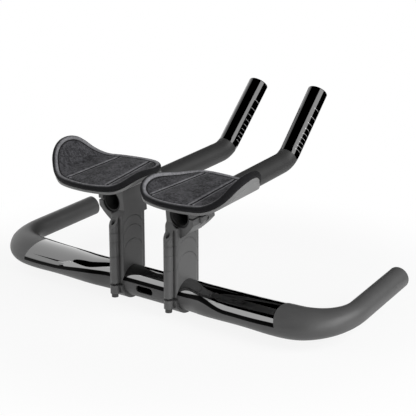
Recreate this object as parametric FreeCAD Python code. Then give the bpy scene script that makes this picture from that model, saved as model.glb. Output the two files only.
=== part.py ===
import FreeCAD, Part
import math
import os

# Time trial handlebar: a base bar with two stacked risers, each carrying an extension and an armrest.
# Frame: origin in the middle of the bar's clamp zone, +X to the rider's right, +Y forward, +Z up.
# Lengths are in millimetres and angles in degrees. Right-hand pieces are modelled and then mirrored.

V = FreeCAD.Vector
ORIGIN = V(0, 0, 0)
X_AXIS = V(1, 0, 0)
Y_AXIS = V(0, 1, 0)
Z_AXIS = V(0, 0, 1)

# Base bar
CLAMP_D = 31.8          # round clamp zone
CLAMP_MARGIN = 4.3      # the round zone reaches this far beyond the risers
BAR_WALL = 1.6
WING_BLEND = 30.0       # length over which round becomes wing
WING_CHORD = 43.0       # front to rear
WING_THICK = 29.4
WING_SETBACK = 1.5      # the wing's middle lies this far behind the clamp axis
WING_RISE = 2.4         # the bar's ends stand this much above the clamp axis
HORN_SPREAD = 430.0     # between the corner points of the two bends
HORN_D = 22.2
HORN_LENGTH = 132.0     # from the corner point of the bend to the open end
HORN_PITCH = 6.5        # horns rise towards the front
HORN_TOE = 3.5          # and lean inwards
HORN_BEND_R = 46.0
SLOT_WIDTH = 22.0       # cable slot in the rear wall
SLOT_HEIGHT = 7.5
SLOT_DROP = 2.0         # below the clamp axis

# Fasteners
BOLT_D = 4.0
BOLT_CLEARANCE = 0.1
HEAD_D = 7.0
HEAD_HEIGHT = 4.0
SOCKET_FLATS = 3.0
SOCKET_DEPTH = 2.2
BOLT_ENGAGE = 6.5       # thread length in the extension clamp
TIP_ROOM = 1.0          # blind holes go this far beyond the screw

# Riser stack
RISER_X = 35.7          # riser plane from the middle
BLADE_THICK = 16.0
BOLT_LAND = 2.0         # between the bar and a riser bolt
RIB_D = 9.4
RIB_NECK = 3.4          # the block between the ribs ends this far inside the bolts
BLOCK_CORNER = 3.0
ARCH_SHOULDER = 1.3     # flat between the arch of a seam and the block's end
BASE_WALL = 12.9        # bar to the lowest seam
SPACER_TALL = 15.0
SPACER_SHORT = 10.0
SEAM_GROOVE = 0.3       # step around each seam
SEAM_DEPTH = 0.3
BAR_CLEARANCE = 0.05
SPLIT_GAP = 2.2         # between riser base and bar cap
CAP_WALL = 3.2
EAR_DROP = 11.0         # underside of the cap's ears below the bar axis

# Extensions, in the deck frame: pitched about X, at the height of the extension's axis
DECK_WALL = 4.4         # between the extension and the arch below it
DECK_PITCH = 6.0
EXT_OFFSET = 8.5        # extension outside the riser plane
EXT_TOE = 1.0
EXT_D = 22.2
EXT_WALL = 1.6
EXT_INSET = 1.5         # open rear end lies inside the clamp
EXT_RUN = 172.0         # bar's axis to the corner point of the bend
EXT_UPTURN = 89.5       # corner point to the front end
EXT_BEND = 41.5
EXT_BEND_R = 30.0
EXT_EDGE = 1.2          # rounding of the front rim
BORE_CLEARANCE = 0.05
BORE_CHAMFER = 1.0

# Extension clamp, in the deck frame
CLAMP_REAR = 13.4       # behind the bar's axis
CLAMP_FRONT = 20.5
SEAT_WALL = 7.0         # extension to the armrest seat
RING_WALL = 5.9         # outside the bore, on the outer side
FLARE_TOP = 7.0         # the outer side flares from here below the extension's axis
FLARE_FOOT = 7.7        # and ends this far above the seam
FLARE_BULGE = 1.0
NOSE_REACH = 7.0        # the flare's front end slants back by this much
BLOCK_WALL = 5.9        # the square block ends this far below the extension
RIB_FOOT = 4.4          # ends of the ribs slant from here above the seam
RIB_SLANT = 18.8        # up by this much
PINCH_SLIT = 1.8
PINCH_LAND = 2.9        # between the extension and a pinch screw
PINCH_Y = (1.0, 9.5)
EAR_TOP = 9.0           # seat of the pinch screws above the extension's axis
EAR_UNDER = 6.5         # underside of the pinch ear at its rear, below the extension's axis
EAR_THIN = 2.4          # and at its front
EAR_SLOPE = 10.4        # length of the slope between the two
EAR_SIDE = 0.3          # ear beyond the screw heads, at the side
EAR_END = 1.0           # and at its two ends
EAR_CORNER = 2.0

# Armrest, in the deck frame: pad, fastener and cup follow one trough-shaped section
PAD_THICK = 6.0
FASTENER_THICK = 1.0
CUP_THICK = 2.5
PAD_OFFSET = 18.8       # middle of the pad outside the extension
PAD_Y = 1.5
PAD_WIDTH = 109.0
PAD_LENGTH = 93.0
INNER_HALF = 37.0       # flat of the trough on the inner side of the pad's middle
INNER_R = 21.0
INNER_ANGLE = 55.0
OUTER_HALF = 24.0       # and on the outer side
OUTER_R = 26.0
OUTER_ANGLE = 58.0
CUP_INSET = 3.0
FASTENER_WIDTH = 44.0
FASTENER_LENGTH = 50.0
FASTENER_CORNER = 6.0
SEAT_SCREW_OFFSET = 11.0   # armrest screws each side of the extension's axis
SEAT_SCREW_EDGE = 4.5      # and inside the clamp's two ends
SEAT_SCREW_BITE = 7.0      # armrest screw in the clamp
SEAT_HEAD_D = 6.4
SEAT_HEAD_HEIGHT = 1.8

# Plan outline of the pad: shares of half the width (outwards) and half the length (forwards)
PAD_OUTLINE = (
    (1.00, 0.00),
    (0.92, 0.50),
    (0.57, 0.85),
    (-0.12, 1.00),
    (-0.68, 0.93),
    (-0.92, 0.36),
    (-1.00, -0.22),
    (-0.90, -0.68),
    (-0.52, -0.94),
    (0.00, -1.00),
    (0.54, -0.85),
    (0.88, -0.48),
)

SECTION_POINTS = 16     # points around one section of the bar
TAPER_STEPS = 4
BEND_STEPS = 6
JOIN_STEP = 0.02        # the bar's shaped part lies this far inside the round parts it runs into
JOIN_LAP = 3.0          # and reaches this far into them
REACH = 200.0           # longer than any cut has to be
OVERRUN = 1.0           # cuts go this far past a face

# Riser stack, worked out from the above
BORE_R = CLAMP_D / 2 + BAR_CLEARANCE
HOLE_R = BOLT_D / 2 + BOLT_CLEARANCE
BLADE_INNER = RISER_X - BLADE_THICK / 2
BLADE_OUTER = RISER_X + BLADE_THICK / 2
CLAMP_HALF = BLADE_OUTER + CLAMP_MARGIN
BOLT_REACH = CLAMP_D / 2 + BOLT_LAND + BOLT_D / 2
BOLT_YS = (-BOLT_REACH, BOLT_REACH)
BLOCK_HALF = BOLT_REACH - RIB_NECK
ARCH_R = BLOCK_HALF - ARCH_SHOULDER
SPACER_TALL_LOW = CLAMP_D / 2 + BASE_WALL
SPACER_SHORT_LOW = SPACER_TALL_LOW + SPACER_TALL
CLAMP_LOW = SPACER_SHORT_LOW + SPACER_SHORT

# Extension, clamp and armrest, worked out from the above
DECK_RISE = ARCH_R + DECK_WALL + EXT_D / 2
DECK_HEIGHT = CLAMP_LOW + DECK_RISE
DECK = FreeCAD.Placement(V(0, 0, DECK_HEIGHT), FreeCAD.Rotation(X_AXIS, DECK_PITCH))
EXT_X = RISER_X + EXT_OFFSET
EXT_REAR = CLAMP_REAR - EXT_INSET
RING_X = EXT_X + EXT_D / 2 + RING_WALL
CLAMP_TOP = EXT_D / 2 + SEAT_WALL
FLARE_LOW = DECK_RISE - FLARE_FOOT
BLOCK_LOW = EXT_D / 2 + BLOCK_WALL
RIB_END_LOW = DECK_RISE - RIB_FOOT
RIB_END_HIGH = RIB_END_LOW - RIB_SLANT
PINCH_X = EXT_X + EXT_D / 2 + PINCH_LAND + BOLT_D / 2
EAR_X = PINCH_X + HEAD_D / 2 + EAR_SIDE
EAR_REAR = PINCH_Y[0] - HEAD_D / 2 - EAR_END
EAR_FRONT = PINCH_Y[1] + HEAD_D / 2 + EAR_END
CUP_FLOOR = CLAMP_TOP + CUP_THICK
CUP_DEPTH = PAD_THICK + FASTENER_THICK
PAD_TOP = CUP_FLOOR + CUP_DEPTH
PAD_X = EXT_X + PAD_OFFSET
INNER_FLAT = PAD_X - INNER_HALF
OUTER_FLAT = PAD_X + OUTER_HALF
SEAT_SCREW_XS = (EXT_X - SEAT_SCREW_OFFSET, EXT_X + SEAT_SCREW_OFFSET)
SEAT_SCREW_YS = (SEAT_SCREW_EDGE - CLAMP_REAR, CLAMP_FRONT - SEAT_SCREW_EDGE)
SEAT_SCREW_PLACES = [(x, y) for x in SEAT_SCREW_XS for y in SEAT_SCREW_YS]


def smooth(share):
    return share * share * (3 - 2 * share)


def between(low, high, share):
    return low + (high - low) * share


def face_of(edges):
    return Part.Face(Part.Wire(Part.__sortEdges__(edges)))


def box(x0, x1, y0, y1, z0, z1):
    return Part.makeBox(x1 - x0, y1 - y0, z1 - z0, V(x0, y0, z0))


def polygon_prism(points, direction):
    return Part.Face(Part.makePolygon(points + points[:1])).extrude(direction)


def upright_edges(shape):
    return [e for e in shape.Edges if e.BoundBox.ZLength > max(e.BoundBox.XLength, e.BoundBox.YLength)]


def on_deck(shape):
    """Carry a shape from the deck frame to the handlebar's frame."""
    return shape.transformed(DECK.toMatrix())


# Base bar

def bar_section(centre, across, up, chord, thick):
    """Closed smooth section of the bar, an ellipse whose points all start at the same place."""
    points = []
    for i in range(SECTION_POINTS):
        angle = 2 * math.pi * i / SECTION_POINTS
        points.append(centre + across * (chord / 2 * math.cos(angle)) + up * (thick / 2 * math.sin(angle)))
    curve = Part.BSplineCurve()
    curve.interpolate(Points=points, Parameters=list(range(SECTION_POINTS + 1)), PeriodicFlag=True)
    return Part.Wire(curve.toShape())


def horn_direction():
    flat = math.cos(math.radians(HORN_PITCH))
    toe = math.radians(HORN_TOE)
    return V(-flat * math.sin(toe), flat * math.cos(toe), math.sin(math.radians(HORN_PITCH)))


def bar_half(skin):
    """Right half of the bar outside the clamp zone; skin is how far inside the outer surface it lies."""
    start = V(CLAMP_HALF, 0, 0)
    corner = V(HORN_SPREAD / 2, -WING_SETBACK, WING_RISE)
    wing_dir = (V(HORN_SPREAD / 2, 0, WING_RISE) - start).normalize()
    horn_dir = horn_direction()
    up = wing_dir.cross(horn_dir).normalize()
    turn = wing_dir.getAngle(horn_dir)
    tangent = HORN_BEND_R * math.tan(turn / 2)
    bend_start = corner - wing_dir * tangent
    bend_end = corner + horn_dir * tangent
    centre = bend_start + up.cross(wing_dir) * HORN_BEND_R
    clamp_d = CLAMP_D - 2 * (skin + JOIN_STEP)
    horn_d = HORN_D - 2 * (skin + JOIN_STEP)
    wing_chord = WING_CHORD - 2 * skin
    wing_thick = WING_THICK - 2 * skin
    sections = [bar_section(start - X_AXIS * JOIN_LAP, Y_AXIS, Z_AXIS, clamp_d, clamp_d)]
    for i in range(TAPER_STEPS + 1):
        share = i / TAPER_STEPS
        blend = smooth(share)
        x = CLAMP_HALF + WING_BLEND * share
        place = V(x, -WING_SETBACK * blend, WING_RISE * (x - CLAMP_HALF) / (corner.x - CLAMP_HALF))
        chord = between(clamp_d, wing_chord, blend)
        thick = between(clamp_d, wing_thick, blend)
        sections.append(bar_section(place, Y_AXIS, Z_AXIS, chord, thick))
    middle = (bend_start + V(CLAMP_HALF + WING_BLEND, -WING_SETBACK, 0)) * 0.5
    middle.z = WING_RISE * (middle.x - CLAMP_HALF) / (corner.x - CLAMP_HALF)
    sections.append(bar_section(middle, Y_AXIS, Z_AXIS, wing_chord, wing_thick))
    for i in range(BEND_STEPS + 1):
        share = i / BEND_STEPS
        spin = FreeCAD.Rotation(up, math.degrees(turn) * share)
        place = centre + spin.multVec(bend_start - centre)
        across = spin.multVec(up.cross(wing_dir))
        chord = between(wing_chord, horn_d, smooth(share))
        thick = between(wing_thick, horn_d, smooth(share))
        sections.append(bar_section(place, across, up, chord, thick))
    sections.append(bar_section(bend_end + horn_dir * JOIN_LAP, up.cross(horn_dir), up, horn_d, horn_d))
    shell = Part.makeLoft(sections, True, False)
    straight = HORN_LENGTH - tangent
    overrun = OVERRUN if skin > 0 else 0
    horn = Part.makeCylinder(HORN_D / 2 - skin, straight + overrun, bend_end, horn_dir)
    return shell.fuse(horn)


def bar_body(skin):
    middle = Part.makeCylinder(CLAMP_D / 2 - skin, 2 * CLAMP_HALF, V(-CLAMP_HALF, 0, 0), X_AXIS)
    right = bar_half(skin)
    left = right.mirror(ORIGIN, X_AXIS)
    return middle.fuse([right, left]).removeSplitter()


def base_bar():
    end = SLOT_HEIGHT / 2
    run = (SLOT_WIDTH - SLOT_HEIGHT) / 2
    slot = box(-run, run, -CLAMP_D, 0, -SLOT_DROP - end, -SLOT_DROP + end)
    for x in (-run, run):
        slot = slot.fuse(Part.makeCylinder(end, CLAMP_D, V(x, -CLAMP_D, -SLOT_DROP), Y_AXIS))
    return bar_body(0).cut(bar_body(BAR_WALL)).cut(slot)


# Riser stack

def riser_plan(inset):
    """Upright prism of the riser's plan: a rounded block with a round rib at each end."""
    block = box(BLADE_INNER + inset, BLADE_OUTER - inset, -BLOCK_HALF, BLOCK_HALF, -REACH, REACH)
    plan = block.makeFillet(BLOCK_CORNER, upright_edges(block))
    for y in BOLT_YS:
        plan = plan.fuse(Part.makeCylinder(RIB_D / 2 - inset, 2 * REACH, V(RISER_X, y, -REACH)))
    return plan


def seam_edges(height, arched):
    """One seam seen from the side, rear to front: flat at the ribs, arched between them."""
    far = BOLT_REACH + RIB_D
    rear = V(0, -far, height)
    front = V(0, far, height)
    if not arched:
        return [Part.makeLine(rear, front)]
    foot_rear = V(0, -ARCH_R, height)
    foot_front = V(0, ARCH_R, height)
    arch = Part.Arc(foot_rear, V(0, 0, height + ARCH_R), foot_front).toShape()
    return [Part.makeLine(rear, foot_rear), arch, Part.makeLine(foot_front, front)]


def side_slab(low, low_arched, high, high_arched):
    far = BOLT_REACH + RIB_D
    edges = seam_edges(low, low_arched) + seam_edges(high, high_arched)
    for y in (-far, far):
        edges.append(Part.makeLine(V(0, y, low), V(0, y, high)))
    slab = face_of(edges).extrude(V(2 * BLADE_THICK, 0, 0))
    return slab.translated(V(RISER_X - BLADE_THICK, 0, 0))


def stack_piece(low, low_arched, high, high_arched):
    """Slice of the riser between two seams, with a small step around each seam."""
    core = riser_plan(SEAM_DEPTH).common(side_slab(low, low_arched, high, high_arched))
    skin_low = low + SEAM_GROOVE
    skin_high = high - SEAM_GROOVE
    skin = riser_plan(0).common(side_slab(skin_low, low_arched, skin_high, high_arched))
    return core.fuse(skin).removeSplitter()


def bolt_holes(shape):
    for y in BOLT_YS:
        shape = shape.cut(Part.makeCylinder(HOLE_R, 2 * REACH, V(RISER_X, y, -REACH)))
    return shape


def bar_bore(shape):
    return shape.cut(Part.makeCylinder(BORE_R, 2 * REACH, V(-REACH, 0, 0), X_AXIS))


def riser_base():
    return bolt_holes(bar_bore(stack_piece(0, False, SPACER_TALL_LOW, True)))


def spacer(low, height):
    return bolt_holes(stack_piece(low, True, low + height, True))


def bar_cap():
    ears = riser_plan(0).common(side_slab(-EAR_DROP, False, -SPLIT_GAP, False))
    ring = Part.makeCylinder(BORE_R + CAP_WALL, BLADE_THICK, V(BLADE_INNER, 0, 0), X_AXIS)
    ring = ring.common(side_slab(-REACH, False, -SPLIT_GAP, False))
    return bolt_holes(bar_bore(ears.fuse(ring).removeSplitter()))


def socket_screw(seat, direction, length):
    """Screw whose head rests on the point seat, with its shank along direction."""
    head = Part.makeCylinder(HEAD_D / 2, HEAD_HEIGHT, seat, direction * -1)
    shank = Part.makeCylinder(BOLT_D / 2, length, seat, direction)
    corner_r = SOCKET_FLATS / math.sqrt(3)
    points = []
    for i in range(6):
        angle = math.radians(60 * i)
        points.append(V(corner_r * math.cos(angle), corner_r * math.sin(angle), 0))
    socket = polygon_prism(points, Z_AXIS * SOCKET_DEPTH)
    socket.Placement = FreeCAD.Placement(seat - direction * HEAD_HEIGHT, FreeCAD.Rotation(Z_AXIS, direction))
    return head.fuse(shank).cut(socket)


def riser_bolts():
    length = EAR_DROP + CLAMP_LOW + BOLT_ENGAGE
    return [socket_screw(V(RISER_X, y, -EAR_DROP), Z_AXIS, length) for y in BOLT_YS]


# Extension and its clamp

def extension_axis():
    toe = math.radians(EXT_TOE)
    return V(-math.sin(toe), math.cos(toe), 0)


def extension_tube(radius, overrun):
    """Bent rod of the extension in the deck frame, longer by overrun at both ends."""
    axis = extension_axis()
    bend = math.radians(EXT_BEND)
    upturn = axis * math.cos(bend) + Z_AXIS * math.sin(bend)
    rear = V(EXT_X, 0, 0) - axis * (EXT_REAR + overrun)
    corner = V(EXT_X, 0, 0) + axis * EXT_RUN
    front = corner + upturn * (EXT_UPTURN + overrun)
    tangent = EXT_BEND_R * math.tan(bend / 2)
    arc_start = corner - axis * tangent
    arc_end = corner + upturn * tangent
    inward = (upturn - axis).normalize()
    arc_middle = corner + inward * (EXT_BEND_R / math.cos(bend / 2) - EXT_BEND_R)
    run = Part.makeLine(rear, arc_start)
    turn = Part.Arc(arc_start, arc_middle, arc_end).toShape()
    rise = Part.makeLine(arc_end, front)
    circle = Part.Wire(Part.makeCircle(radius, rear, axis))
    return Part.Wire([run, turn, rise]).makePipeShell([circle], True, True)


def extension():
    rod = extension_tube(EXT_D / 2, 0)
    front_rim = max(rod.Edges, key=lambda edge: edge.CenterOfMass.z)
    bore = extension_tube(EXT_D / 2 - EXT_WALL, OVERRUN)
    return on_deck(rod.makeFillet(EXT_EDGE, [front_rim]).cut(bore))


def clamp_block():
    """Upper body of the extension clamp in the deck frame, before its bore and screw holes."""
    low_inner = V(BLADE_INNER, 0, -BLOCK_LOW)
    top_inner = V(BLADE_INNER, 0, CLAMP_TOP)
    top_outer = V(RING_X, 0, CLAMP_TOP)
    flare_top = V(RING_X, 0, -FLARE_TOP)
    flare_low = V(BLADE_OUTER, 0, -FLARE_LOW)
    bulge = (flare_top - flare_low).cross(Y_AXIS).normalize() * -FLARE_BULGE
    flare_middle = (flare_top + flare_low) * 0.5 + bulge
    edges = [
        Part.makeLine(low_inner, top_inner),
        Part.makeLine(top_inner, top_outer),
        Part.makeLine(top_outer, flare_top),
        Part.Arc(flare_top, flare_middle, flare_low).toShape(),
        Part.makeLine(flare_low, low_inner),
    ]
    block = face_of(edges).extrude(Y_AXIS * (CLAMP_REAR + CLAMP_FRONT)).translated(V(0, -CLAMP_REAR, 0))
    nose = [
        V(BLADE_OUTER, CLAMP_FRONT, -FLARE_TOP),
        V(BLADE_OUTER, CLAMP_FRONT - NOSE_REACH, -FLARE_LOW),
        V(BLADE_OUTER, CLAMP_FRONT, -FLARE_LOW),
    ]
    block = block.cut(polygon_prism(nose, X_AXIS * REACH))
    return block.fuse(pinch_ear())


def pinch_ear():
    """Ear for the pinch screws in the deck frame, with an underside that slopes up to the front."""
    points = [
        V(EXT_X, EAR_REAR, EAR_TOP),
        V(EXT_X, EAR_REAR, -EAR_UNDER),
        V(EXT_X, EAR_REAR + EAR_SLOPE, -EAR_THIN),
        V(EXT_X, EAR_FRONT, -EAR_THIN),
        V(EXT_X, EAR_FRONT, EAR_TOP),
    ]
    ear = polygon_prism(points, X_AXIS * (EAR_X - EXT_X))
    corners = [e for e in upright_edges(ear) if e.BoundBox.XMin > EXT_X]
    return ear.makeFillet(EAR_CORNER, corners)


def rib_end(edge, outwards):
    """Room above one slanted rib end, in the deck frame; outwards is -1 at the rear and 1 at the front."""
    rib = outwards * (BOLT_REACH + RIB_D)
    points = [
        V(0, edge, REACH),
        V(0, edge, -RIB_END_HIGH),
        V(0, rib, -RIB_END_LOW),
        V(0, outwards * REACH, -RIB_END_LOW),
        V(0, outwards * REACH, REACH),
    ]
    return on_deck(polygon_prism(points, X_AXIS * REACH))


def clamp_blade():
    """Lower blade of the extension clamp, with slanted rib ends."""
    blade = stack_piece(CLAMP_LOW, True, DECK_HEIGHT, False)
    return blade.cut([rib_end(-CLAMP_REAR, -1), rib_end(CLAMP_FRONT, 1)])


def screw_hole(x, y, low, high):
    return Part.makeCylinder(HOLE_R, high - low, V(x, y, low))


def extension_clamp():
    stack = riser_plan(0).common(side_slab(0, False, CLAMP_LOW, True))
    body = clamp_blade().fuse(on_deck(clamp_block()).cut(stack)).removeSplitter()
    axis = extension_axis()
    middle = V(EXT_X, 0, 0)
    radius = EXT_D / 2 + BORE_CLEARANCE
    bore = Part.makeCylinder(radius, 2 * REACH, middle - axis * REACH, axis)
    slit = box(EXT_X, REACH, -REACH, REACH, -PINCH_SLIT / 2, PINCH_SLIT / 2)
    cuts = [on_deck(bore), on_deck(slit)]
    for end, inwards in ((middle - axis * CLAMP_REAR, axis), (middle + axis * CLAMP_FRONT, axis * -1)):
        start = end - inwards * BORE_CHAMFER
        mouth = Part.makeCone(radius + 2 * BORE_CHAMFER, radius, 2 * BORE_CHAMFER, start, inwards)
        cuts.append(on_deck(mouth))
    for y in PINCH_Y:
        well = Part.makeCylinder(HEAD_D / 2 + BOLT_CLEARANCE, REACH, V(PINCH_X, y, EAR_TOP))
        cuts += [on_deck(screw_hole(PINCH_X, y, -REACH, EAR_TOP + OVERRUN)), on_deck(well)]
    for x, y in SEAT_SCREW_PLACES:
        low = CLAMP_TOP - SEAT_SCREW_BITE - TIP_ROOM
        cuts.append(on_deck(screw_hole(x, y, low, CLAMP_TOP + OVERRUN)))
    rear, front = BOLT_YS
    cuts.append(screw_hole(RISER_X, rear, CLAMP_LOW - OVERRUN, REACH))
    cuts.append(screw_hole(RISER_X, front, CLAMP_LOW - OVERRUN, CLAMP_LOW + BOLT_ENGAGE + TIP_ROOM))
    return body.cut(cuts)


def pinch_screws():
    seats = [V(PINCH_X, y, EAR_TOP) for y in PINCH_Y]
    return [on_deck(socket_screw(seat, Z_AXIS * -1, EAR_TOP + EAR_THIN)) for seat in seats]


# Armrest

def wing_edges(flat_x, radius, angle, depth, side):
    """Curved wing of the trough on one side, from the flat outwards, and the straight beyond it."""
    centre = V(flat_x, 0, PAD_TOP + radius)
    r = radius + depth

    def at(degrees):
        a = math.radians(degrees)
        return centre + V(side * r * math.sin(a), 0, -r * math.cos(a))

    tip = at(angle)
    along = V(side * math.cos(math.radians(angle)), 0, math.sin(math.radians(angle)))
    end = tip + along * PAD_WIDTH / 2
    return [Part.Arc(at(0), at(angle / 2), tip).toShape(), Part.makeLine(tip, end)], end


def trough_curve(depth):
    """Section of the armrest at a depth below the pad's surface, and its two ends."""
    inner, inner_end = wing_edges(INNER_FLAT, INNER_R, INNER_ANGLE, depth, -1)
    outer, outer_end = wing_edges(OUTER_FLAT, OUTER_R, OUTER_ANGLE, depth, 1)
    level = PAD_TOP - depth
    flat = Part.makeLine(V(INNER_FLAT, 0, level), V(OUTER_FLAT, 0, level))
    return inner + [flat] + outer, inner_end, outer_end


def trough_layer(depth, thick):
    """Endless trough between two depths, along the deck's Y axis."""
    upper, upper_inner, upper_outer = trough_curve(depth)
    lower, lower_inner, lower_outer = trough_curve(depth + thick)
    ends = [Part.makeLine(upper_inner, lower_inner), Part.makeLine(upper_outer, lower_outer)]
    layer = face_of(upper + lower + ends).extrude(Y_AXIS * 2 * PAD_LENGTH)
    return layer.translated(V(0, PAD_Y - PAD_LENGTH, 0))


def pad_prism(inset, spread):
    """Upright prism of the pad's plan outline, shrunk by inset and then widened by spread on both sides."""
    points = []
    for u, v in PAD_OUTLINE:
        x = PAD_X + u * (PAD_WIDTH / 2 - inset + spread)
        y = PAD_Y + v * (PAD_LENGTH / 2 - inset)
        points.append(V(x, y, -REACH))
    curve = Part.BSplineCurve()
    curve.interpolate(Points=points, PeriodicFlag=True)
    return Part.Face(Part.Wire(curve.toShape())).extrude(Z_AXIS * 2 * REACH)


def armrest_cup():
    spread = CUP_DEPTH * math.sin(math.radians(OUTER_ANGLE))
    cup = trough_layer(CUP_DEPTH, CUP_THICK).common(pad_prism(CUP_INSET, spread))
    for x, y in SEAT_SCREW_PLACES:
        cup = cup.cut([screw_hole(x, y, 0, REACH), seat_head(x, y, BOLT_CLEARANCE)])
    return on_deck(cup)


def seat_head(x, y, clearance):
    """Countersunk head, flush with the cup's floor."""
    low_r = BOLT_D / 2 + clearance
    high_r = SEAT_HEAD_D / 2 + clearance
    return Part.makeCone(low_r, high_r, SEAT_HEAD_HEIGHT, V(x, y, CUP_FLOOR - SEAT_HEAD_HEIGHT))


def armrest_screws():
    screws = []
    for x, y in SEAT_SCREW_PLACES:
        foot = CLAMP_TOP - SEAT_SCREW_BITE
        shank = Part.makeCylinder(BOLT_D / 2, CUP_FLOOR - SEAT_HEAD_HEIGHT - foot, V(x, y, foot))
        screws.append(on_deck(shank.fuse(seat_head(x, y, 0)).removeSplitter()))
    return screws


def pad_fastener():
    half_w = FASTENER_WIDTH / 2
    half_l = FASTENER_LENGTH / 2
    middle = (INNER_FLAT + OUTER_FLAT) / 2
    top = CUP_FLOOR + FASTENER_THICK
    strip = box(middle - half_w, middle + half_w, PAD_Y - half_l, PAD_Y + half_l, CUP_FLOOR, top)
    return on_deck(strip.makeFillet(FASTENER_CORNER, upright_edges(strip)))


def armrest_pad():
    return on_deck(trough_layer(0, PAD_THICK).common(pad_prism(0, 0)))


# Write every piece

def save(name, solids):
    shape = solids[0] if len(solids) == 1 else Part.makeCompound(solids)
    for solid in shape.Solids:
        if not solid.isValid():
            raise ValueError(name + " has an invalid solid")
    shape.exportStep("parts/" + name + ".step")


def mirrored(solids):
    return [solid.mirror(ORIGIN, X_AXIS) for solid in solids]


def main():
    os.makedirs("parts", exist_ok=True)
    save("base_bar", base_bar().Solids)
    sides = {
        "riser_base": riser_base().Solids,
        "bar_cap": bar_cap().Solids,
        "spacer_15": spacer(SPACER_TALL_LOW, SPACER_TALL).Solids,
        "spacer_10": spacer(SPACER_SHORT_LOW, SPACER_SHORT).Solids,
        "extension_clamp": extension_clamp().Solids,
        "riser_bolts": riser_bolts(),
        "pinch_screws": pinch_screws(),
        "extension": extension().Solids,
        "armrest_cup": armrest_cup().Solids,
        "armrest_screws": armrest_screws(),
        "pad_fastener": pad_fastener().Solids,
        "armrest_pad": armrest_pad().Solids,
    }
    for name, solids in sides.items():
        save("right_" + name, solids)
        save("left_" + name, mirrored(solids))


main()
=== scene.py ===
import math

import bpy
from mathutils import Matrix, Quaternion, Vector, noise


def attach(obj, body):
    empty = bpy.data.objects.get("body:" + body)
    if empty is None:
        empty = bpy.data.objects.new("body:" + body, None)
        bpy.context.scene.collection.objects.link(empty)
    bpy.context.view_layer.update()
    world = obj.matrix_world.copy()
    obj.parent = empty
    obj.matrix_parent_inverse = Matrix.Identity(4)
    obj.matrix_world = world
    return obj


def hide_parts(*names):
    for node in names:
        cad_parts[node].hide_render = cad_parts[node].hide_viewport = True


# Looks of a time trial handlebar: base bar, stacked risers, ski-bend extensions and padded armrests.
# Row frame: metres, +X to the rider's right, +Y forward, +Z up, origin on the bar's clamp axis.

MM = 0.001
CAMERA_TARGET = Vector((0.0, 0.090, 0.060))
CAMERA_AZIMUTH = 38.26
CAMERA_ELEVATION = 16.32
CAMERA_DISTANCE = 1.29791
CAMERA_LENS = 106.54
CAMERA_SHIFT = (-0.00315, 0.0006)
FLOOR_Z = -0.020

# Base bar, as in the CAD model (m): round clamp zone, then a taper to elliptic wings that climb outwards
CLAMP_HALF = 0.048
CLAMP_R = 0.0159
TAPER = 0.030
TAPER_SEEN = 0.060
WING_WIDEN = 0.0056
WING_THIN = 0.0012
WING_SHIFT = 0.0015
WING_CLIMB = 0.01437

# Lacquered panel of the bar (m): its end, the lean of that end, and the band along its lower border,
# painted flat black as a painted dark reflection
PANEL_END = 0.165
PANEL_LEAN = -0.4
PAINTED_REFLECTION_BAND = (0.0037, 0.0041)
# Stretches of the panel's lower border, as (from, to, height at the start, height at the end), added up
BORDER_LEFT = ((0.068, 0.125, 0.0030, -0.0016),)
BORDER_RIGHT = (
    (0.048, 0.074, 0.0030, 0.0059),
    (0.073, 0.107, 0.0, -0.0055),
    (0.120, 0.165, 0.0, 0.0009),
)

# Right extension, as in the CAD model (m): a point and the direction of its run, and its upturned end
RUN_X = 0.0442
RUN_Z = 0.0845
RUN_AXIS = (-0.01745, 0.99437, 0.10451)
RUN_REAR = -0.0114
END_X = 0.0402
END_AXIS = (0.6755, 0.7373)
END_TIP = 0.2800
# Its lacquer starts across this direction, and its trim marks lie on one flank
LACQUER_AXIS = (0.8186, 0.5743)
LACQUER_START = (0.2033, 0.2037)
MARKS_LENGTH = 0.076
MARKS_FROM = 0.010
MARKS_TO = 0.079
MARKS_FLANK = 0.0098
MARKS_COUNT = 9.0
MARKS_CROWDING = 1.9
# What lies nearer to the run's axis than this is the bore of the clamp, which is painted near black as
# shade
BORE_R = 0.0118

# Armrest trough, as in the CAD model (mm and degrees, right side)
DECK_HEIGHT = 84.5
DECK_PITCH = 6.0
PAD_TOP = 27.6
PAD_X = 63.0
PAD_Y = 1.5
PAD_WIDTH = 109.0
PAD_LENGTH = 93.0
INNER_FLAT = 26.0
INNER_R = 21.0
INNER_ANGLE = 55.0
OUTER_FLAT = 87.0
OUTER_R = 26.0
OUTER_ANGLE = 58.0
PAD_OUTLINE = (
    (1.00, 0.00),
    (0.92, 0.50),
    (0.57, 0.85),
    (-0.12, 1.00),
    (-0.68, 0.93),
    (-0.92, 0.36),
    (-1.00, -0.22),
    (-0.90, -0.68),
    (-0.52, -0.94),
    (0.00, -1.00),
    (0.54, -0.85),
    (0.88, -0.48),
)

# Pad profile: distance from the edge against depth below the trough's surface (mm)
TOP_PROFILE = (
    (0.0, 3.0),
    (0.7, 1.35),
    (1.6, 0.5),
    (2.6, 0.15),
    (3.6, 0.3),
    (4.5, 0.8),
    (5.2, 1.45),
    (5.7, 1.8),
    (6.2, 1.5),
    (7.0, 1.0),
    (8.4, 0.7),
    (10.5, 0.5),
)
UNDER_PROFILE = ((0.5, 4.6), (1.3, 5.9), (2.6, 6.6), (5.0, 6.85), (9.5, 6.8), (12.5, 5.95))
GROOVE = 5.7
AROUND = 200
INNER_RINGS = 22
UNDER_RINGS = 10
# Sewn creases, as (distance along the section at the rear, at the front), measured from the inner flat
CREASES = ((2.5, 10.0), (53.0, 49.5))
CREASE_Y = (-32.0, 34.0)
CREASE_DEPTH = 1.1
CREASE_REACH = 3.2
# Filling of the pad by cloth simulation, and the height of its unevenness (m)
FILL_FRAMES = 20
FILL_CAP = 0.0016
UNEVEN = 0.00018
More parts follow.
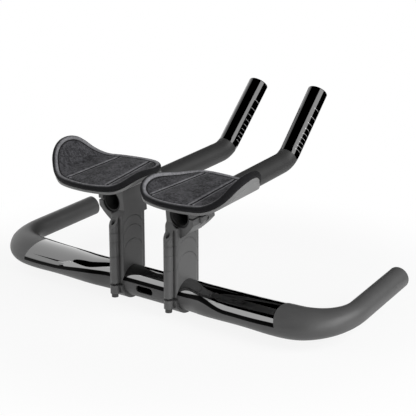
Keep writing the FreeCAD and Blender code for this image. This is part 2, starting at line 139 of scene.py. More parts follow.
# One thread loop of the seam, as (share of its length, lift, radius) in mm, and its depth
LOOP = ((0, -0.25, 0.1), (0.15, 0.05, 0.24), (0.5, 0.2, 0.28), (0.85, 0.05, 0.24), (1, -0.25, 0.1))
LOOP_SIDES = 6
LOOP_DEPTH = 1.55


def look_at(obj, target):
    obj.rotation_mode = "QUATERNION"
    obj.rotation_quaternion = (Vector(target) - obj.location).to_track_quat("-Z", "Y")


def smooth(low, high, value):
    share = min(max((value - low) / (high - low), 0.0), 1.0)
    return share * share * (3 - 2 * share)


# Materials


class Shader:
    """A material being built, with short calls for its nodes."""

    def __init__(self, name):
        self.material = bpy.data.materials.new(name)
        self.material.use_nodes = True
        self.tree = self.material.node_tree
        self.bsdf = self.tree.nodes["Principled BSDF"]

    def node(self, kind, **inputs):
        made = self.tree.nodes.new(kind)
        for key, value in inputs.items():
            self.put(made.inputs[key.replace("_", " ")], value)
        return made

    def put(self, socket, value):
        if isinstance(value, bpy.types.NodeSocket):
            self.tree.links.new(value, socket)
        else:
            socket.default_value = value

    def set(self, **inputs):
        for key, value in inputs.items():
            self.put(self.bsdf.inputs[key.replace("_", " ")], value)

    def math(self, operation, *values):
        made = self.tree.nodes.new("ShaderNodeMath")
        made.operation = operation
        for socket, value in zip(made.inputs, values):
            self.put(socket, value)
        return made.outputs[0]

    def ramp(self, value, low, high, out_low=0.0, out_high=1.0):
        made = self.tree.nodes.new("ShaderNodeMapRange")
        made.interpolation_type = "SMOOTHSTEP"
        for socket, item in zip(made.inputs, (value, low, high, out_low, out_high)):
            self.put(socket, item)
        return made.outputs[0]

    def mix(self, share, a, b):
        made = self.tree.nodes.new("ShaderNodeMix")
        made.data_type = "RGBA"
        self.put(made.inputs[0], share)
        self.put(made.inputs[6], a)
        self.put(made.inputs[7], b)
        return made.outputs[2]

    def place(self):
        coord = self.tree.nodes.new("ShaderNodeTexCoord")
        return coord.outputs["Object"]

    def split(self, vector):
        made = self.node("ShaderNodeSeparateXYZ", Vector=vector)
        return made.outputs[0], made.outputs[1], made.outputs[2]

    def grain(self, vector, scale, detail=2.0, rough=0.5):
        made = self.node("ShaderNodeTexNoise", Vector=vector, Scale=scale, Detail=detail, Roughness=rough)
        return made.outputs[0]

    def bump(self, height, strength, distance, normal=None):
        made = self.node("ShaderNodeBump", Height=height, Strength=strength, Distance=distance)
        if normal is not None:
            self.put(made.inputs["Normal"], normal)
        return made.outputs[0]

    def rounded(self, radius):
        made = self.node("ShaderNodeBevel", Radius=radius)
        made.samples = 4
        return made.outputs[0]

    def choose(self, share, a, b):
        made = self.tree.nodes.new("ShaderNodeMix")
        made.data_type = "VECTOR"
        self.put(made.inputs[0], share)
        self.put(made.inputs[4], a)
        self.put(made.inputs[5], b)
        return made.outputs[1]

    def total(self, *terms):
        result = terms[0]
        for term in terms[1:]:
            result = self.math("ADD", result, term)
        return result

    def times(self, *factors):
        result = factors[0]
        for factor in factors[1:]:
            result = self.math("MULTIPLY", result, factor)
        return result

    def clamped(self, value):
        return self.math("MINIMUM", self.math("MAXIMUM", value, 0.0), 1.0)


def grey(value):
    return (value, value, value, 1.0)


def section_normal(s, x, y, z):
    """Normal of the bar's elliptic sections, so that the facets of its mesh don't break up reflections."""
    side = s.math("ABSOLUTE", x)
    past = s.math("SUBTRACT", side, CLAMP_HALF)
    share = s.clamped(s.math("DIVIDE", past, TAPER))
    blend = s.times(share, share, s.math("MULTIPLY_ADD", share, -2.0, 3.0))
    # The slope is spread over a longer taper than the solid's, as the photo's reflections are
    gentle = s.clamped(s.math("DIVIDE", past, TAPER_SEEN))
    slope = s.times(gentle, s.math("SUBTRACT", 1.0, gentle), 6 / TAPER_SEEN)
    half_chord = s.math("MULTIPLY_ADD", blend, WING_WIDEN, CLAMP_R)
    half_thick = s.math("MULTIPLY_ADD", blend, -WING_THIN, CLAMP_R)
    beyond = s.math("MAXIMUM", past, 0.0)
    away_y = s.math("MULTIPLY_ADD", blend, WING_SHIFT, y)
    away_z = s.math("MULTIPLY_ADD", beyond, -WING_CLIMB, z)
    ny = s.math("DIVIDE", away_y, s.times(half_chord, half_chord))
    nz = s.math("DIVIDE", away_z, s.times(half_thick, half_thick))
    shift = s.times(ny, slope, WING_SHIFT)
    widen = s.math("DIVIDE", s.times(ny, away_y, slope, -WING_WIDEN), half_chord)
    flatten = s.math("DIVIDE", s.times(nz, away_z, slope, WING_THIN), half_thick)
    climb = s.times(nz, s.math("GREATER_THAN", side, CLAMP_HALF), -WING_CLIMB)
    nx = s.times(s.math("SIGN", x), s.total(shift, widen, flatten, climb))
    joined = s.node("ShaderNodeCombineXYZ", X=nx, Y=ny, Z=nz)
    unit = s.tree.nodes.new("ShaderNodeVectorMath")
    unit.operation = "NORMALIZE"
    s.put(unit.inputs[0], joined.outputs[0])
    turned = s.tree.nodes.new("ShaderNodeVectorTransform")
    turned.vector_type = "NORMAL"
    turned.convert_from = "OBJECT"
    turned.convert_to = "WORLD"
    s.put(turned.inputs[0], unit.outputs[0])
    return turned.outputs[0]


def panel_border(s, x):
    """Height of the lacquered panel's lower border: a swoosh that dips towards the horns (m)."""
    side = s.math("ABSOLUTE", x)
    left = s.total(*[s.ramp(side, *stretch) for stretch in BORDER_LEFT])
    right = s.total(*[s.ramp(side, *stretch) for stretch in BORDER_RIGHT])
    on_right = s.math("GREATER_THAN", x, 0.0)
    return s.math("MULTIPLY_ADD", on_right, s.math("SUBTRACT", right, left), left)


def bar_finish():
    """Satin dark grey bar with a lacquered black panel on top; the band along the panel's lower edge is
    painted flat black as a dark reflection.
    """
    s = Shader("bar_finish")
    place = s.place()
    x, y, z = s.split(place)
    side = s.math("ABSOLUTE", x)
    end = s.math("MULTIPLY_ADD", z, PANEL_LEAN, PANEL_END)
    inside = s.ramp(s.math("SUBTRACT", end, side), -0.0002, 0.0002)
    above = s.math("SUBTRACT", z, panel_border(s, x))
    panel = s.math("MULTIPLY", inside, s.ramp(above, -0.0003, 0.0003))
    gloss = s.math("MULTIPLY", inside, s.ramp(above, *PAINTED_REFLECTION_BAND))
    cloud = s.grain(place, 60.0, 4.0, 0.6)
    fine = s.grain(place, 2600.0, 2.0)
    satin = s.mix(cloud, grey(0.080), grey(0.104))
    # Painted reflection: the band below the lacquer is near-black metal with no coat, so it stays black
    # whatever it faces.
    s.set(Base_Color=s.mix(panel, satin, grey(0.003)), Metallic=panel)
    rough = s.math("MULTIPLY_ADD", fine, 0.12, 0.42)
    s.set(Roughness=s.math("MULTIPLY_ADD", gloss, s.math("SUBTRACT", 0.05, rough), rough))
    s.set(Coat_Weight=gloss, Coat_Roughness=0.02, Coat_IOR=2.4)
    skin = s.bump(fine, 0.25, 0.0001)
    lacquer = section_normal(s, x, y, z)
    s.set(Normal=s.choose(gloss, skin, lacquer), Coat_Normal=lacquer)
    return s.material


def tube_axis(s, place):
    """Distance along the nearer extension's straight run, and squared distance from its axis."""
    x, y, z = s.split(place)
    px = s.math("SUBTRACT", s.math("ABSOLUTE", x), RUN_X)
    pz = s.math("SUBTRACT", z, RUN_Z)
    along = s.total(s.times(px, RUN_AXIS[0]), s.times(y, RUN_AXIS[1]), s.times(pz, RUN_AXIS[2]))
    reach = s.total(s.times(px, px), s.times(y, y), s.times(pz, pz))
    return along, s.math("SUBTRACT", reach, s.times(along, along))


def riser_finish():
    """Blasted and anodised dark grey, with a soft glint along the corners."""
    s = Shader("riser_finish")
    place = s.place()
    fine = s.grain(place, 3200.0, 2.0)
    cloud = s.grain(place, 45.0, 4.0, 0.6)
    away = tube_axis(s, place)[1]
    # Painted shade: the clamp's bore is coloured near black.
    bore_shade = s.math("LESS_THAN", away, BORE_R ** 2)
    s.set(Base_Color=s.mix(bore_shade, s.mix(cloud, grey(0.105), grey(0.135)), grey(0.004)))
    s.set(Metallic=0.2, Roughness=s.math("MULTIPLY_ADD", fine, 0.14, 0.40))
    s.set(Normal=s.bump(fine, 0.25, 0.0001, s.rounded(0.0004)))
    return s.material


def extension_finish(side):
    """Satin black run, gloss black upturned end and fine trim marks that crowd towards the bend."""
    s = Shader(side + "_extension_finish")
    place = s.place()
    x, y, z = s.split(place)
    forward = s.total(s.times(y, LACQUER_AXIS[0]), s.times(z, LACQUER_AXIS[1]))
    gloss = s.ramp(forward, *LACQUER_START)
    fine = s.grain(place, 2600.0, 2.0)
    cloud = s.grain(place, 70.0, 4.0, 0.6)
    satin = s.mix(cloud, grey(0.034), grey(0.046))
    up_end = s.total(s.times(y, END_AXIS[0]), s.times(z, END_AXIS[1]))
    from_tip = s.math("SUBTRACT", END_TIP, up_end)
    share = s.math("MAXIMUM", s.times(from_tip, 1 / MARKS_LENGTH), 0.0)
    count = s.times(s.math("POWER", share, MARKS_CROWDING), MARKS_COUNT)
    off_line = s.math("ABSOLUTE", s.math("SUBTRACT", count, s.math("ROUND", count)))
    line = s.math("LESS_THAN", off_line, s.math("MULTIPLY_ADD", from_tip, 0.9, 0.006))
    reach = s.math("SUBTRACT", s.math("ABSOLUTE", x), END_X)
    flank = reach if side == "right" else s.math("MULTIPLY", reach, -1.0)
    on_flank = s.math("GREATER_THAN", flank, MARKS_FLANK)
    zone = s.times(on_flank, s.math("LESS_THAN", from_tip, MARKS_TO))
    marks = s.times(line, zone, s.math("GREATER_THAN", from_tip, MARKS_FROM))
    coat = s.mix(marks, s.mix(gloss, satin, grey(0.0025)), grey(0.30))
    along = tube_axis(s, place)[0]
    # Painted shade: behind RUN_REAR the tube's rear end face and the inside of the tube are coloured near
    # black.
    s.set(Base_Color=s.mix(s.math("LESS_THAN", along, RUN_REAR), coat, grey(0.003)))
    rough = s.math("MULTIPLY_ADD", fine, 0.12, 0.48)
    s.set(Roughness=s.math("MULTIPLY_ADD", gloss, s.math("SUBTRACT", 0.06, rough), rough))
    unmarked = s.math("SUBTRACT", 1.0, marks)
    s.set(Coat_Weight=gloss, Coat_Roughness=0.02, Metallic=s.times(gloss, unmarked))
    s.set(Normal=s.bump(s.times(fine, s.math("SUBTRACT", 1.0, gloss)), 0.15, 0.0001))
    return s.material


def steel_finish():
    """Black-oxide screws."""
    s = Shader("steel_finish")
    fine = s.grain(s.place(), 1800.0, 3.0)
    s.set(Base_Color=s.mix(fine, grey(0.05), grey(0.09)), Metallic=0.8)
    s.set(Roughness=s.math("MULTIPLY_ADD", fine, 0.2, 0.3), Normal=s.rounded(0.0003))
    return s.material


def cup_finish():
    """Moulded plastic with a fine spark-eroded grain."""
    s = Shader("cup_finish")
    place = s.place()
    fine = s.grain(place, 1500.0, 3.0)
    s.set(Base_Color=s.mix(s.grain(place, 50.0, 3.0), grey(0.20), grey(0.24)))
    s.set(Roughness=s.math("MULTIPLY_ADD", fine, 0.15, 0.40))
    s.set(Normal=s.bump(fine, 0.3, 0.0001, s.rounded(0.0004)))
    return s.material


def fastener_finish():
    """Hook-and-loop strip."""
    s = Shader("fastener_finish")
    place = s.place()
    loops = s.node("ShaderNodeTexVoronoi", Vector=place, Scale=1100.0).outputs["Distance"]
    s.set(Base_Color=s.mix(loops, grey(0.012), grey(0.03)), Roughness=0.95)
    s.set(Normal=s.bump(loops, 0.8, 0.0004))
    return s.material


def pad_finish():
    """Charcoal suede-like cloth with a mottled nap; the border and strips beside the creases are painted
    paler as sheen, and the creases, the groove and the sides are painted near black as shade.
    """
    s = Shader("pad_finish")
    place = s.place()
    uv_map = s.tree.nodes.new("ShaderNodeUVMap")
    uv_map.uv_map = "cloth"
    u, v, _ = s.split(uv_map.outputs[0])
    from_edge = s.tree.nodes.new("ShaderNodeAttribute")
    from_edge.attribute_name = "from_edge"
    edge = from_edge.outputs["Fac"]
    nap = s.grain(place, 420.0, 5.0, 0.7)
    cloud = s.grain(place, 75.0, 4.0, 0.65)
    brushed = s.grain(place, 1500.0, 2.0)
    knit_u = s.math("SINE", s.math("MULTIPLY", u, 6283.0))
    knit_v = s.math("SINE", s.math("MULTIPLY", v, 6283.0))
    knit = s.math("MULTIPLY", knit_u, knit_v)
    tone = s.total(s.times(nap, 0.9), s.times(cloud, 0.5), s.times(brushed, 0.3))
    mottle = s.ramp(tone, 0.68, 1.02)
    field = s.mix(mottle, (0.024, 0.0238, 0.0262, 1), (0.108, 0.107, 0.116, 1))
    # Painted sheen: the border is coloured much paler than the field to stand in for the sheen on its
    # piping.
    border_sheen = s.mix(mottle, (0.175, 0.174, 0.184, 1), (0.320, 0.318, 0.336, 1))
    border = s.math("SUBTRACT", 1.0, s.ramp(edge, 4.6, 5.4))
    gap = None
    span = CREASE_Y[1] - CREASE_Y[0]
    for rear, front in CREASES:
        lean = (front - rear) / span
        line = s.math("MULTIPLY_ADD", v, lean, (rear - lean * CREASE_Y[0]) * MM)
        away = s.math("ABSOLUTE", s.math("SUBTRACT", u, line))
        gap = away if gap is None else s.math("MINIMUM", gap, away)
    crease = s.math("SUBTRACT", 1.0, s.ramp(gap, 0.0004, 0.0013))
    within = s.ramp(edge, 6.0, 7.0)
    # Painted highlight: a strip beside each crease takes the border's pale colour, as the lit side of a
    # ridge.
    ridge_end = s.math("SUBTRACT", 1.0, s.ramp(gap, 0.0022, 0.0042))
    ridge = s.times(s.ramp(gap, 0.0011, 0.0018), ridge_end)
    cloth = s.mix(s.math("MAXIMUM", border, s.times(ridge, within, 0.8)), field, border_sheen)
    off_groove = s.math("ABSOLUTE", s.math("SUBTRACT", edge, GROOVE))
    groove = s.math("SUBTRACT", 1.0, s.ramp(off_groove, 0.3, 0.9))
    below = s.math("SUBTRACT", 1.0, s.ramp(edge, 0.5, 2.8))
    # Painted shade: the creases, the groove inside the border and the pad's side walls and underside are
    # mixed towards near black.
    sewn = s.math("MAXIMUM", s.times(crease, within), s.math("MAXIMUM", groove, below))
    s.set(Base_Color=s.mix(s.times(sewn, 0.97), cloth, (0.004, 0.004, 0.005, 1)))
    s.set(Roughness=s.math("MULTIPLY_ADD", nap, 0.1, 0.86), Specular_IOR_Level=0.2)
    s.set(Sheen_Weight=0.05, Sheen_Roughness=0.4)
    weave = s.bump(knit, 0.2, 0.00012)
    pile = s.bump(s.total(nap, s.times(brushed, 0.4)), 0.55, 0.0008, weave)
    s.set(Normal=s.bump(s.math("SUBTRACT", 1.0, s.times(crease, within)), 0.7, 0.0006, pile))
    return s.material


def thread_finish():
    s = Shader("thread_finish")
    twist = s.grain(s.place(), 2200.0, 2.0)
    s.set(Base_Color=s.mix(twist, grey(0.02), grey(0.045)), Roughness=0.8)
    return s.material


# Pads


def trough_point(along, y, depth):
    """Point of the right armrest, from distances along its section, along the deck and below (mm)."""
    width = OUTER_FLAT - INNER_FLAT
    if along > width:
        flat, radius, angle, sign, run = OUTER_FLAT, OUTER_R, OUTER_ANGLE, 1, along - width
    elif along < 0:
        flat, radius, angle, sign, run = INNER_FLAT, INNER_R, INNER_ANGLE, -1, -along
    else:
        flat, radius, angle, sign, run = INNER_FLAT + along, 1.0, 0.0, 1, 0.0
    top = math.radians(angle)
    a = min(run / radius, top)
    rest = run - a * radius
    r = radius + depth
    x = flat + sign * (r * math.sin(a) + rest * math.cos(a))
    z = PAD_TOP + radius - r * math.cos(a) + rest * math.sin(a)
    pitch = math.radians(DECK_PITCH)
    deck_y = y * math.cos(pitch) - z * math.sin(pitch)
    deck_z = y * math.sin(pitch) + z * math.cos(pitch)
    return Vector((x, deck_y, DECK_HEIGHT + deck_z)) * MM


def section_length(x):
    """Distance along the section, from the inner flat, of a point of the surface at x (mm)."""
    if x > OUTER_FLAT:
        flat, radius, angle, sign, start = OUTER_FLAT, OUTER_R, OUTER_ANGLE, 1, OUTER_FLAT - INNER_FLAT
    elif x < INNER_FLAT:
        flat, radius, angle, sign, start = INNER_FLAT, INNER_R, INNER_ANGLE, -1, 0.0
    else:
        return x - INNER_FLAT
    top = math.radians(angle)
    out = abs(x - flat)
    if out < radius * math.sin(top):
        return start + sign * radius * math.asin(out / radius)
    return start + sign * (radius * top + (out - radius * math.sin(top)) / math.cos(top))


def pad_edge():
    """Evenly spaced points of the pad's outline on the unrolled section (mm)."""
    corners = []
    for u, v in PAD_OUTLINE:
        corners.append((PAD_X + u * PAD_WIDTH / 2, PAD_Y + v * PAD_LENGTH / 2))
    count = len(corners)
    dense = []
    for i in range(count):
        p = [Vector(corners[(i + k) % count]) for k in (-1, 0, 1, 2)]
        for j in range(40):
            t = j / 40
            a = 2 * p[1] + (p[2] - p[0]) * t
            b = (2 * p[0] - 5 * p[1] + 4 * p[2] - p[3]) * t * t
            c = (3 * p[1] - p[0] - 3 * p[2] + p[3]) * t ** 3
            q = (a + b + c) * 0.5
            dense.append(Vector((section_length(q.x), q.y)))
    dense.append(dense[0])
    lengths = [0.0]
    for a, b in zip(dense, dense[1:]):
        lengths.append(lengths[-1] + (b - a).length)
    edge = []
    k = 0
    for i in range(AROUND):
        goal = lengths[-1] * i / AROUND
        while lengths[k + 1] < goal:
            k += 1
        share = (goal - lengths[k]) / (lengths[k + 1] - lengths[k])
        edge.append(dense[k].lerp(dense[k + 1], share))
    return edge


def inset_ring(edge, distance):
    """The outline moved inwards by a distance (mm)."""
    ring = []
    for i, p in enumerate(edge):
        along = edge[(i + 1) % AROUND] - edge[i - 1]
        inward = Vector((-along.y, along.x)).normalized()
        ring.append(p + inward * distance)
    return ring


def crease_gap(p):
    """Distance to the nearest sewn crease on the unrolled section (mm)."""
    share = (p.y - CREASE_Y[0]) / (CREASE_Y[1] - CREASE_Y[0])
    return min(abs(p.x - (rear + (front - rear) * share)) for rear, front in CREASES)


def pad_rings(edge):
    """Rings from the middle of the pad's underside to the middle of its top: points, depth, distance in."""
    under = inset_ring(edge, UNDER_PROFILE[-1][0])
    inner = inset_ring(edge, TOP_PROFILE[-1][0])
    middle = sum(inner, Vector((0.0, 0.0))) / AROUND
    rings = []
    for i in range(UNDER_RINGS - 1, 0, -1):
        ring = [p.lerp(middle, i / UNDER_RINGS) for p in under]
        rings.append((ring, UNDER_PROFILE[-1][1], -1.0))
    for distance, depth in reversed(UNDER_PROFILE):
        rings.append((inset_ring(edge, distance), depth, -1.0))
    for distance, depth in TOP_PROFILE:
        rings.append((inset_ring(edge, distance), depth, distance))
    for i in range(1, INNER_RINGS):
        ring = [p.lerp(middle, i / INNER_RINGS) for p in inner]
        rings.append((ring, TOP_PROFILE[-1][1], 20.0))
    return rings, middle


def crease_depth(p):
    return CREASE_DEPTH * (1 - smooth(0.0, CREASE_REACH, crease_gap(p)))


def pad_mesh(name):
    """Right pad as a closed mesh of rings, with the unrolled section as its UV map."""
    rings, middle = pad_rings(pad_edge())
    flat = []
    verts = []
    inward = []
    held = []
    pinned = UNDER_RINGS - 1 + len(UNDER_PROFILE) + len(TOP_PROFILE) - 2
    for k, (ring, depth, distance) in enumerate(rings):
        for p in ring:
            low = depth + crease_depth(p) if distance > 10 else depth
            flat.append(p)
            verts.append(trough_point(p.x, p.y, low))
            inward.append(distance)
            held.append(1.0 if k < pinned else 1 - smooth(0.5, 4.0, crease_gap(p)))
    faces = []
    for k in range(len(rings) - 1):
        for i in range(AROUND):
            j = (i + 1) % AROUND
            faces.append((k * AROUND + i, k * AROUND + j, (k + 1) * AROUND + j, (k + 1) * AROUND + i))
    for k, order, pin in ((0, -1, 1.0), (len(rings) - 1, 1, 0.0)):
        ring, depth, distance = rings[k]
        centre = len(verts)
        flat.append(middle)
        verts.append(trough_point(middle.x, middle.y, depth))
        inward.append(distance)
        held.append(pin)
        for i in range(AROUND):
            j = (i + 1) % AROUND
            faces.append((k * AROUND + i, k * AROUND + j, centre)[::order])
    mesh = bpy.data.meshes.new(name)
    mesh.from_pydata(verts, [], faces)
    layer = mesh.uv_layers.new(name="cloth")
    for loop in mesh.loops:
        layer.data[loop.index].uv = flat[loop.vertex_index] * MM
    from_edge = mesh.attributes.new("from_edge", "FLOAT", "POINT")
    from_edge.data.foreach_set("value", inward)
    return mesh, held


def inflate(obj, held):
    """Fill the sewn panels with a short cloth simulation; no point moves further than the cap."""
    group = obj.vertex_groups.new(name="held")
    for i, weight in enumerate(held):
        group.add([i], weight, "REPLACE")
    cloth = obj.modifiers.new("fill", "CLOTH")
    cloth.settings.quality = 5
    cloth.settings.mass = 0.05
    cloth.settings.vertex_group_mass = "held"
    cloth.settings.use_pressure = True
    cloth.settings.uniform_pressure_force = 4.0
    cloth.settings.effector_weights.gravity = 0
    cloth.collision_settings.use_collision = False
    cloth.point_cache.frame_start = 1
    cloth.point_cache.frame_end = FILL_FRAMES
    scene = bpy.context.scene
    for frame_number in range(1, FILL_FRAMES + 1):
        scene.frame_set(frame_number)
    filled = obj.evaluated_get(bpy.context.evaluated_depsgraph_get()).to_mesh()
    moved = [v.co.copy() for v in filled.vertices]
    obj.evaluated_get(bpy.context.evaluated_depsgraph_get()).to_mesh_clear()
    obj.modifiers.remove(cloth)
    scene.frame_set(1)
    for vertex, goal in zip(obj.data.vertices, moved):
        step = goal - vertex.co
        vertex.co += step * min(1.0, FILL_CAP / max(step.length, 1e-9))
    obj.vertex_groups.clear()


def crumple(mesh):
    """Unevenness of a foam pad under cloth, with a pebbled middle between the sewn creases."""
    normals = [v.normal.copy() for v in mesh.vertices]
    inward = mesh.attributes["from_edge"].data
    flat = {}
    layer = mesh.uv_layers["cloth"].data
    for loop in mesh.loops:
        flat[loop.vertex_index] = layer[loop.index].uv / MM
    inner = sum(CREASES[0]) / 2
    outer = sum(CREASES[1]) / 2
    for vertex, normal, reach in zip(mesh.vertices, normals, inward):
        wide = noise.noise(vertex.co * 70)
        close = noise.noise(vertex.co * 190 + Vector((5, 2, 7)))
        pebble = 1 - 2 * abs(noise.noise(vertex.co * 230 + Vector((1, 8, 3))))
        along = flat[vertex.index].x
        middle = smooth(inner + 2, inner + 8, along) * (1 - smooth(outer - 8, outer - 2, along))
        share = smooth(6.0, 12.0, reach.value) if reach.value > 0 else 0.0
        bumps = 0.7 * wide + close + 1.6 * middle * pebble
        vertex.co += normal * UNEVEN * (0.3 * wide + share * bumps)


def add_mesh(name, mesh, material):
    obj = bpy.data.objects.new(name, mesh)
    bpy.context.scene.collection.objects.link(obj)
    if not mesh.materials:
        mesh.materials.append(material)
    for polygon in mesh.polygons:
        polygon.use_smooth = True
    return obj


def mirror_mesh(mesh, name):
    made = mesh.copy()
    made.name = name
    made.transform(Matrix.Scale(-1, 4, Vector((1, 0, 0))))
    made.flip_normals()
    return made


def stitch_mesh(name):
    """A row of short thread loops in the border's groove."""
    groove = inset_ring(pad_edge(), GROOVE)
    points = [trough_point(p.x, p.y, LOOP_DEPTH) for p in groove]
    verts = []
    faces = []
    for i in range(0, AROUND, 2):
        a = points[i]
        b = points[(i + 1) % AROUND]
        c = points[(i + 2) % AROUND]
        along = (c - a).normalized()
        start = a.lerp(b, 0.1)
        end = b.lerp(c, 0.55)
        u, v = groove[i]
        up = (trough_point(u, v, 0.0) - trough_point(u, v, 1.0)).normalized()
        across = along.cross(up)
        base = len(verts)
        for share, lift, size in LOOP:
            centre = start.lerp(end, share) + up * lift * MM
            for k in range(LOOP_SIDES):
                angle = 2 * math.pi * k / LOOP_SIDES
                verts.append(centre + (across * math.cos(angle) + up * math.sin(angle)) * size * MM)
        last = base + (len(LOOP) - 1) * LOOP_SIDES
        for p in range(base, last, LOOP_SIDES):
            for k in range(LOOP_SIDES):
                j = (k + 1) % LOOP_SIDES
                faces.append((p + k, p + j, p + LOOP_SIDES + j, p + LOOP_SIDES + k))
        faces.append(tuple(base + k for k in reversed(range(LOOP_SIDES))))
        faces.append(tuple(last + k for k in range(LOOP_SIDES)))
    mesh = bpy.data.meshes.new(name)
    mesh.from_pydata(verts, [], faces)
    return mesh


def add_pads():
    cloth = pad_finish()
    thread = thread_finish()
    mesh, held = pad_mesh("right_pad_cover")
    right = add_mesh("right_pad_cover", mesh, cloth)
    inflate(right, held)
    crumple(mesh)
    left = add_mesh("left_pad_cover", mirror_mesh(mesh, "left_pad_cover"), cloth)
    stitches = stitch_mesh("right_pad_stitches")
    pieces = [(right, stitches, "right"), (left, mirror_mesh(stitches, "left_pad_stitches"), "left")]
    for pad, row, side in pieces:
        subdivision = pad.modifiers.new("subdivision", "SUBSURF")
        subdivision.levels = 1
        subdivision.render_levels = 1
        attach(pad, "cockpit")
        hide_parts(side + "_armrest_pad")
        sewn = add_mesh(row.name, row, thread)
        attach(sewn, "cockpit")


# Stage


def seen(tree):
    """1 for the rays that show the plain white background: camera, reflections and glass."""
    path = tree.nodes.new("ShaderNodeLightPath")
    value = path.outputs["Is Camera Ray"]
    for kind in ("Is Glossy Ray", "Is Transmission Ray"):
        larger = tree.nodes.new("ShaderNodeMath")
        larger.operation = "MAXIMUM"
        tree.links.new(value, larger.inputs[0])
        tree.links.new(path.outputs[kind], larger.inputs[1])
        value = larger.outputs[0]
    return value


def floor_finish():
    """Pale matte floor that is seen as white, with a trace of the object's shadow near it."""
    s = Shader("floor_finish")
    s.set(Base_Color=grey(0.85), Roughness=0.9)
    distance = s.tree.nodes.new("ShaderNodeVectorMath")
    distance.operation = "LENGTH"
    s.put(distance.inputs[0], s.place())
    shaded = s.ramp(distance.outputs["Value"], 0.20, 0.40, 0.12, 0.0)
    glow = s.node("ShaderNodeEmission", Color=(1, 1, 1, 1), Strength=1.0)
    mixed = s.tree.nodes.new("ShaderNodeMixShader")
    s.put(mixed.inputs[0], s.times(seen(s.tree), s.math("SUBTRACT", 1.0, shaded)))
    s.put(mixed.inputs[1], s.bsdf.outputs[0])
    s.put(mixed.inputs[2], glow.outputs[0])
    s.put(s.tree.nodes["Material Output"].inputs[0], mixed.outputs[0])
    return s.material


def add_floor():
    mesh = bpy.data.meshes.new("floor")
    half = 0.42
    corners = [(-half, -half, 0), (half, -half, 0), (half, half, 0), (-half, half, 0)]
    mesh.from_pydata(corners, [], [(0, 1, 2, 3)])
    floor = add_mesh("floor", mesh, floor_finish())
    floor.location = (0.0, 0.05, FLOOR_Z)


def add_flags():
    """Black flags round and above the set keep the lacquer black; the background shows in a gap behind."""
    left, right = -2.6, 2.6
    near, far = -2.2, 2.2
    low, sill, high = -1.5, 0.05, 2.6
    gap = -0.75
    walls = [
        [(left, near, low), (right, near, low), (right, near, high), (left, near, high)],
        [(left, near, low), (left, near, high), (left, far, high), (left, far, low)],
        [(right, near, low), (right, near, high), (right, far, high), (right, far, low)],
        [(left, near, high), (right, near, high), (right, far, high), (left, far, high)],
        [(left, far, sill), (gap, far, sill), (gap, far, high), (left, far, high)],
        [(gap, far, low), (right, far, low), (right, far, high), (gap, far, high)],
    ]
    mesh = bpy.data.meshes.new("flags")
    mesh.from_pydata(sum(walls, []), [], [tuple(range(4 * i, 4 * i + 4)) for i in range(len(walls))])
    s = Shader("flag_cloth")
    s.set(Base_Color=(0, 0, 0, 1), Roughness=1.0, Specular_IOR_Level=0.0)
    flags = add_mesh("flags", mesh, s.material)
    flags.visible_camera = False


def add_world():
    world = bpy.data.worlds.new("studio")
    bpy.context.scene.world = world
    world.use_nodes = True
    tree = world.node_tree
    back = tree.nodes["Background"]
    back.inputs[0].default_value = (1, 1, 1, 1)
    level = tree.nodes.new("ShaderNodeMapRange")
    level.inputs[3].default_value = 0.04
    level.inputs[4].default_value = 1.0
    tree.links.new(seen(tree), level.inputs[0])
    tree.links.new(level.outputs[0], back.inputs[1])


def add_softbox(name, place, target, width, height, power, roll=0.0):
    data = bpy.data.lights.new(name, "AREA")
    data.shape = "RECTANGLE"
    data.size = width
    data.size_y = height
    data.energy = power
    light = bpy.data.objects.new(name, data)
    light.location = place
    bpy.context.scene.collection.objects.link(light)
    look_at(light, target)
    light.rotation_quaternion @= Quaternion((0, 0, 1), math.radians(roll))
    return light


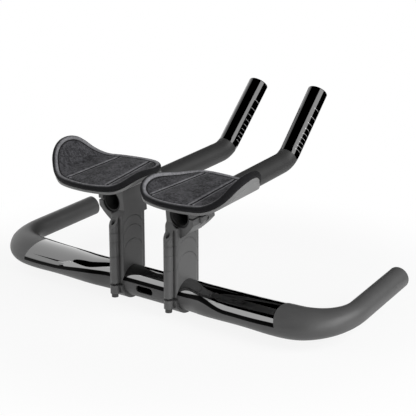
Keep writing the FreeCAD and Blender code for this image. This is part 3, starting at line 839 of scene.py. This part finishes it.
def add_lights():
    add_softbox("left_panel", (-0.60, 0.075, 0.30), (0.0, 0.075, 0.30), 0.95, 0.76, 2.7)
    add_softbox("left_panel_low", (-0.60, -0.48, 0.10), (0.0, -0.48, 0.10), 0.16, 0.40, 0.24)
    add_softbox("left_strip", (-0.60, -0.778, 0.439), (0.0, -0.778, 0.439), 0.89, 0.66, 3.5, -58)
    add_softbox("right_wall", (0.95, 0.22, 0.76), (0.0, 0.22, 0.76), 0.85, 0.72, 11.5)
    add_softbox("right_fill", (0.95, -0.32, 0.30), (0.0, -0.32, 0.30), 0.80, 0.50, 4.0)
    overhead = add_softbox("overhead", (-0.1, -0.4, 1.5), (-0.1, -0.39, 0.0), 1.8, 1.2, 2.8)
    overhead.visible_glossy = False


def add_camera():
    data = bpy.data.cameras.new("camera")
    data.lens = CAMERA_LENS
    data.sensor_width = 36
    data.shift_x, data.shift_y = CAMERA_SHIFT
    camera = bpy.data.objects.new("camera", data)
    a = math.radians(CAMERA_AZIMUTH)
    e = math.radians(CAMERA_ELEVATION)
    back = Vector((math.sin(a) * math.cos(e), -math.cos(a) * math.cos(e), math.sin(e)))
    camera.location = CAMERA_TARGET + back * CAMERA_DISTANCE
    bpy.context.scene.collection.objects.link(camera)
    look_at(camera, CAMERA_TARGET)
    bpy.context.scene.camera = camera


def paint_frame(nodes):
    """Give every CAD node its finish."""
    finishes = {
        "base_bar": bar_finish(),
        "left_extension": extension_finish("left"),
        "right_extension": extension_finish("right"),
    }
    riser = riser_finish()
    steel = steel_finish()
    cup = cup_finish()
    strip = fastener_finish()
    for name, node in nodes.items():
        piece = name.split("_", 1)[1]
        if name in finishes:
            finish = finishes[name]
        elif piece in ("riser_bolts", "pinch_screws", "armrest_screws"):
            finish = steel
        elif piece == "armrest_cup":
            finish = cup
        elif piece in ("pad_fastener", "armrest_pad"):
            finish = strip
        else:
            finish = riser
        node.data.materials.clear()
        node.data.materials.append(finish)


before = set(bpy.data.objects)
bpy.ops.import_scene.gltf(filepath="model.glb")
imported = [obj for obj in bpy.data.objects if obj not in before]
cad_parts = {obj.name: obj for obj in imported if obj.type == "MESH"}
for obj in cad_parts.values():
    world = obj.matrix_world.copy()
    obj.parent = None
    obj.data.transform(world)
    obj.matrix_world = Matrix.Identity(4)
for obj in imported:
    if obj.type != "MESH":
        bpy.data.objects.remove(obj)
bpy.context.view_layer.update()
bpy.context.scene.view_settings.view_transform = "Standard"
paint_frame(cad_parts)
add_pads()
add_floor()
add_flags()
add_world()
add_lights()
add_camera()
